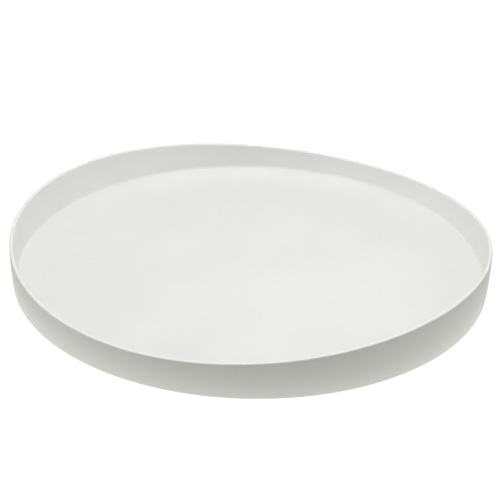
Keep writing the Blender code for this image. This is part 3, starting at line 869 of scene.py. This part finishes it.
class Nodes:
    """Adds nodes to a node tree and returns their outputs."""

    def __init__(self, tree):
        self.tree = tree

    def add(self, kind, inputs=(), **settings):
        """A node, with the values or the outputs that its inputs take."""
        node = self.tree.nodes.new(kind)
        for name, value in settings.items():
            setattr(node, name, value)
        for socket, value in dict(inputs).items():
            if isinstance(value, bpy.types.NodeSocket):
                self.tree.links.new(value, node.inputs[socket])
            else:
                node.inputs[socket].default_value = value
        return node

    def span(self, value, low, high, first, last):
        """Carries low to high over to first to last, and stays inside them."""
        inputs = {"Value": value, "From Min": low, "From Max": high, "To Min": first, "To Max": last}
        return self.add("ShaderNodeMapRange", inputs).outputs["Result"]

    def maths(self, operation, one, other):
        """A sum, product or the like."""
        return self.add("ShaderNodeMath", {0: one, 1: other}, operation=operation).outputs[0]

    def seen_or_lit(self, seen, lit, output):
        """Shows one shader where this floor or room is looked at, and lights the pieces with the other."""
        looked_at = self.add("ShaderNodeLightPath").outputs["Is Camera Ray"]
        both = self.add("ShaderNodeMixShader", {0: looked_at, 1: lit, 2: seen}).outputs[0]
        self.tree.links.new(both, self.tree.nodes[output].inputs["Surface"])


class Finish(Nodes):
    """A Principled material under construction."""

    def __init__(self, name, **constants):
        self.material = bpy.data.materials.new(name)
        self.material.use_nodes = True
        super().__init__(self.material.node_tree)
        self.shader = self.tree.nodes["Principled BSDF"]
        for socket, value in constants.items():
            self.shader.inputs[socket.replace("_", " ")].default_value = value
        self.place = self.add("ShaderNodeTexCoord").outputs["Object"]

    def noise(self, size, detail=3.0, place=None):
        """Noise from 0 to 1, whose blotches are about this size."""
        inputs = {"Vector": place or self.place, "Scale": 1.0 / size, "Detail": detail}
        return self.add("ShaderNodeTexNoise", inputs).outputs["Fac"]

    def blend(self, share, one, other):
        """A colour between two."""
        return self.add("ShaderNodeMix", {0: share, 6: one, 7: other}, data_type="RGBA").outputs[2]

    def radius(self):
        """Distance from the axis that the piece turns about."""
        flat = self.add("ShaderNodeVectorMath", {0: self.place, 1: (1.0, 1.0, 0.0)}, operation="MULTIPLY")
        return self.add("ShaderNodeVectorMath", {0: flat.outputs[0]}, operation="LENGTH").outputs["Value"]

    def levelness(self):
        """1 on a level face, up or down, and 0 on an upright one."""
        normal = self.add("ShaderNodeNewGeometry").outputs["Normal"]
        upward = self.add("ShaderNodeSeparateXYZ", {0: normal}).outputs["Z"]
        return self.maths("MULTIPLY", upward, upward)

    def rings(self):
        """Coordinates that hardly change round the axis, so that a noise draws fine turning marks."""
        height = self.add("ShaderNodeSeparateXYZ", {0: self.place}).outputs["Z"]
        inputs = {0: self.place, "Scale": 0.02}
        drift = self.add("ShaderNodeVectorMath", inputs, operation="SCALE").outputs[0]
        own = self.add("ShaderNodeCombineXYZ", {0: self.radius(), 2: height}).outputs[0]
        return self.add("ShaderNodeVectorMath", {0: own, 1: drift}).outputs[0]

    def edges(self):
        """1 on outer edges and corners, 0 elsewhere."""
        return self.span(self.add("ShaderNodeNewGeometry").outputs["Pointiness"], 0.51, 0.58, 0.0, 1.0)

    def hollows(self):
        """1 in inner corners, 0 elsewhere."""
        return self.span(self.add("ShaderNodeNewGeometry").outputs["Pointiness"], 0.42, 0.49, 1.0, 0.0)

    def relief(self, *layers):
        """Bumps from (height, depth in metres) layers, finest last."""
        normal = None
        for height, depth in layers:
            inputs = {"Height": height, "Distance": depth, "Strength": 1.0}
            if normal is not None:
                inputs["Normal"] = normal
            normal = self.add("ShaderNodeBump", inputs).outputs["Normal"]
        self.feed("Normal", normal)

    def feed(self, socket, output):
        """Links an output to the shader."""
        self.tree.links.new(output, self.shader.inputs[socket])


def shade(colour, factor):
    """A colour made lighter or darker, with its alpha."""
    return (*[min(1.0, c * factor) for c in colour], 1.0)


def moulded_plastic(name, colour, wear_and_highlight_colour, roughness, grain, rim):
    """Matte injection-moulded plastic: eroded grain, faint flow clouds and tiny specks. It is paler and
    smoother in patches on the level parts beyond the rim radius: rubbing wear, and on the dish's lip a
    painted highlight."""
    finish = Finish(name, IOR=1.47)
    clouds = finish.noise(0.07, 4.0)
    fine = finish.noise(grain, 3.0)
    speck = finish.span(finish.noise(0.0016, 1.0), 0.70, 0.78, 0.0, 0.35)
    beyond = finish.span(finish.radius(), rim - SMALL_ROUND, rim, 0.0, 1.0)
    level = finish.span(finish.levelness(), 0.2, 0.6, 0.0, 1.0)
    patchy = finish.span(finish.noise(0.004), 0.35, 0.65, 0.6, 1.0)
    # paler level faces at the rim: rubbing wear, and on the dish's lip a painted highlight
    lightened = finish.maths("MULTIPLY", finish.maths("MULTIPLY", beyond, level), patchy)
    base = finish.blend(finish.span(clouds, 0.35, 0.65, 0.0, 1.0), shade(colour, 0.988), shade(colour, 1.008))
    specked = finish.blend(speck, base, shade(colour, 0.965))
    finish.feed("Base Color", finish.blend(lightened, specked, (*wear_and_highlight_colour, 1.0)))
    cloudy = finish.span(clouds, 0.3, 0.7, roughness - 0.035, roughness + 0.035)
    grained = finish.maths("ADD", cloudy, finish.span(fine, 0.3, 0.7, -0.03, 0.03))
    finish.feed("Roughness", finish.maths("SUBTRACT", grained, finish.span(lightened, 0.0, 1.0, 0.0, 0.10)))
    finish.relief((clouds, 0.00004), (fine, grain * 0.03))
    return finish.material


def plated_steel(name, colour, roughness):
    """Zinc-plated steel: bluish and straw-coloured clouds, turning marks, rubbed edges, and painted shade
    that darkens the hollow corners.
    """
    finish = Finish(name, Metallic=1.0)
    clouds = finish.noise(0.011, 4.0)
    marks = finish.noise(0.00035, 4.0, finish.rings())
    cool = (colour[0] * 0.96, colour[1] * 0.99, colour[2] * 1.03, 1.0)
    warm = (colour[0] * 1.03, colour[1] * 1.0, colour[2] * 0.92, 1.0)
    plated = finish.blend(finish.span(clouds, 0.38, 0.62, 0.0, 1.0), cool, warm)
    lightened = finish.blend(finish.edges(), plated, shade(colour, 1.14))
    # darker in the hollow corners: painted shade
    hollow_shaded = finish.blend(finish.maths("MULTIPLY", finish.hollows(), 0.55), lightened, shade(colour, 0.45))
    finish.feed("Base Color", hollow_shaded)
    streaked = finish.span(marks, 0.3, 0.7, roughness - 0.09, roughness + 0.09)
    cloudy = finish.maths("ADD", streaked, finish.span(clouds, 0.3, 0.7, -0.04, 0.06))
    finish.feed("Roughness", cloudy)
    finish.relief((clouds, 0.00002), (marks, 0.000008))
    return finish.material


def polished_steel(name, colour):
    """Ground and polished bearing steel, with hairline scratches and a thin film of grease."""
    finish = Finish(name, Metallic=1.0)
    film = finish.noise(0.0022, 3.0)
    stretch = finish.add("ShaderNodeMapping", {"Vector": finish.place, "Scale": (1.0, 14.0, 3.0)}).outputs[0]
    hairs = finish.span(finish.noise(0.0016, 2.0, stretch), 0.60, 0.66, 0.0, 1.0)
    finish.feed("Base Color", finish.blend(film, shade(colour, 0.94), shade(colour, 1.04)))
    filmed = finish.span(film, 0.35, 0.65, 0.07, 0.16)
    finish.feed("Roughness", finish.maths("ADD", filmed, finish.maths("MULTIPLY", hairs, 0.10)))
    finish.relief((hairs, 0.000002))
    return finish.material


def natural_acetal(name, colour, marks_size):
    """Natural acetal: waxy and a little translucent, with flow or turning marks and paler edges."""
    finish = Finish(name, IOR=1.48, Subsurface_Weight=0.12, Subsurface_Scale=0.002)
    clouds = finish.noise(0.012, 3.0)
    marks = finish.noise(marks_size, 3.0, finish.rings())
    base = finish.blend(finish.span(clouds, 0.35, 0.65, 0.0, 1.0), shade(colour, 0.96), shade(colour, 1.02))
    finish.feed("Base Color", finish.blend(finish.edges(), base, shade(colour, 1.08)))
    finish.feed("Roughness", finish.span(marks, 0.3, 0.7, 0.34, 0.48))
    finish.relief((marks, 0.00001))
    return finish.material


def foot_rubber(name, colour):
    """Soft matte rubber: fine open grain, dull bloom in patches and pale dust on the edges."""
    finish = Finish(name, IOR=1.52)
    bloom = finish.noise(0.005, 4.0)
    grain = finish.noise(0.0003, 4.0)
    base = finish.blend(finish.span(bloom, 0.35, 0.7, 0.0, 1.0), shade(colour, 0.85), shade(colour, 1.45))
    dusty = finish.blend(finish.maths("MULTIPLY", finish.edges(), 0.35), base, shade(colour, 3.5))
    finish.feed("Base Color", dusty)
    finish.feed("Roughness", finish.span(bloom, 0.3, 0.7, 0.74, 0.92))
    finish.relief((grain, 0.00003))
    return finish.material


def slot_colour(slot):
    """The record's colour for a material slot."""
    return next(m["base_color"] for m in RECORD["materials"] if m["slot"] == slot)


# ---------------------------------------------------------------- studio


def make_floor():
    """A plain white floor, wide enough to fill every view. It looks evenly white, as in a studio that leaves
    no shadow, and it lights the pieces as a dim table with a glowing patch round the dish."""
    bm = bmesh.new()
    bmesh.ops.create_circle(bm, cap_ends=True, segments=96, radius=FLOOR_RADIUS)
    floor = made("floor", bm)
    floor.location.z = -FLOOR_DROP
    finish = Finish("floor_paper", Base_Color=TABLE_COLOUR, Roughness=0.9, Emission_Color=GLOW_COLOUR)
    distance = finish.add("ShaderNodeVectorMath", {0: finish.place}, operation="LENGTH").outputs["Value"]
    glow = TABLE_GLOW[0][1]
    for (near, first), (far, last) in zip(TABLE_GLOW, TABLE_GLOW[1:]):
        glow = finish.maths("ADD", finish.span(distance, near, far, 0.0, last - first), glow)
    finish.feed("Emission Strength", glow)
    paper = finish.add("ShaderNodeEmission", {"Color": PAPER_WHITE, "Strength": PAPER_GLOW}).outputs[0]
    finish.seen_or_lit(paper, finish.shader.outputs[0], "Material Output")
    floor.data.materials.append(finish.material)


def softbox(name, place, aim, width, height, watts):
    """A rectangular soft light."""
    light = bpy.data.lights.new(name, "AREA")
    light.shape = "RECTANGLE"
    light.size = width
    light.size_y = height
    light.energy = watts
    obj = bpy.data.objects.new(name, light)
    bpy.context.scene.collection.objects.link(obj)
    obj.location = place
    obj.rotation_euler = (Vector(aim) - Vector(place)).to_track_quat("-Z", "Y").to_euler()


def make_room():
    """A room that looks evenly white, and lights the pieces in soft lobes from the front and the sides."""
    world = bpy.data.worlds.new("room")
    world.use_nodes = True
    nodes = Nodes(world.node_tree)
    direction = nodes.add("ShaderNodeTexCoord").outputs["Generated"]
    total = 0.0
    for axis, sharpness, strength in ROOM_LIGHT:
        inputs = {0: direction, 1: Vector(axis).normalized()}
        facing = nodes.add("ShaderNodeVectorMath", inputs, operation="DOT_PRODUCT").outputs["Value"]
        lobe = nodes.maths("POWER", nodes.maths("MAXIMUM", facing, 0.0), sharpness)
        total = nodes.maths("ADD", nodes.maths("MULTIPLY", lobe, strength), total)
    lit = nodes.add("ShaderNodeBackground", {"Color": ROOM_COLOUR, "Strength": total}).outputs[0]
    seen = nodes.add("ShaderNodeBackground", {"Color": PAPER_WHITE, "Strength": PAPER_GLOW}).outputs[0]
    nodes.seen_or_lit(seen, lit, "World Output")
    bpy.context.scene.world = world


def make_lights():
    """Large soft lights overhead and at both sides, and a low one that fills the back wall."""
    for light in SOFTBOXES:
        softbox(*light)
    bpy.context.scene.view_settings.view_transform = "Standard"


def make_camera():
    """The photograph's view: from in front and above, with a long lens and a slight roll."""
    camera = bpy.data.cameras.new("camera")
    camera.sensor_width = CAMERA_SENSOR
    camera.lens = CAMERA_LENS
    camera.clip_start, camera.clip_end = CAMERA_CLIP
    obj = bpy.data.objects.new("camera", camera)
    bpy.context.scene.collection.objects.link(obj)
    centre = Vector((0.0, 0.0, TRAY_EDGE))
    back = Vector((0.0, -math.cos(CAMERA_ELEVATION), math.sin(CAMERA_ELEVATION)))
    place = centre + back * CAMERA_DISTANCE
    aim = centre + Vector((AIM_SIDE, 0.0, AIM_ABOVE))
    turn = (aim - place).to_track_quat("-Z", "Y").to_matrix().to_4x4()
    obj.matrix_world = Matrix.Translation(place) @ turn @ Matrix.Rotation(CAMERA_ROLL, 4, "Z")
    bpy.context.scene.camera = obj


# ---------------------------------------------------------------- the whole scene


def make_pieces():
    """Every fine piece, with its finish."""
    screws = [middle(node).xy for node in RACE_SCREWS]
    rivets = [middle(node).xy for node in RACE_RIVETS]
    base_colour = slot_colour("base_plastic")
    race_finish = plated_steel("zinc_plated_race", slot_colour("race_steel"), 0.34)
    fastener_finish = plated_steel("zinc_plated_fastener", slot_colour("fastener_steel"), 0.28)
    base_rim = BASE_RADIUS - BASE_WALL

    make_dish(moulded_plastic("matte_off_white", DISH_COLOUR, DISH_LIP_WEAR_AND_HIGHLIGHT, 0.55, 0.0004, TRAY_RADIUS - LIP))
    make_race("upper_race", UPPER_FACE, -1, screws, SCREW_SHANK + SEAT_GAP, race_finish)
    make_race("lower_race", LOWER_FACE, 1, rivets, RIVET_SHANK + SEAT_GAP, race_finish)
    make_cage(natural_acetal("stamped_acetal", slot_colour("cage_plastic"), 0.002))
    make_balls(polished_steel("bearing_steel", slot_colour("ball_steel")))
    make_base(moulded_plastic("textured_off_white", base_colour, BASE_RUBBED, 0.48, 0.0006, base_rim), rivets)
    make_feet(foot_rubber("soft_rubber", slot_colour("foot_rubber")))
    make_rivets(fastener_finish)
    make_bush(natural_acetal("turned_acetal", slot_colour("bush_plastic"), 0.0004))
    make_washer(fastener_finish)
    make_screws(fastener_finish)


def main():
    """Makes the pieces and the studio."""
    make_pieces()
    make_floor()
    make_room()
    make_lights()
    make_camera()


main()
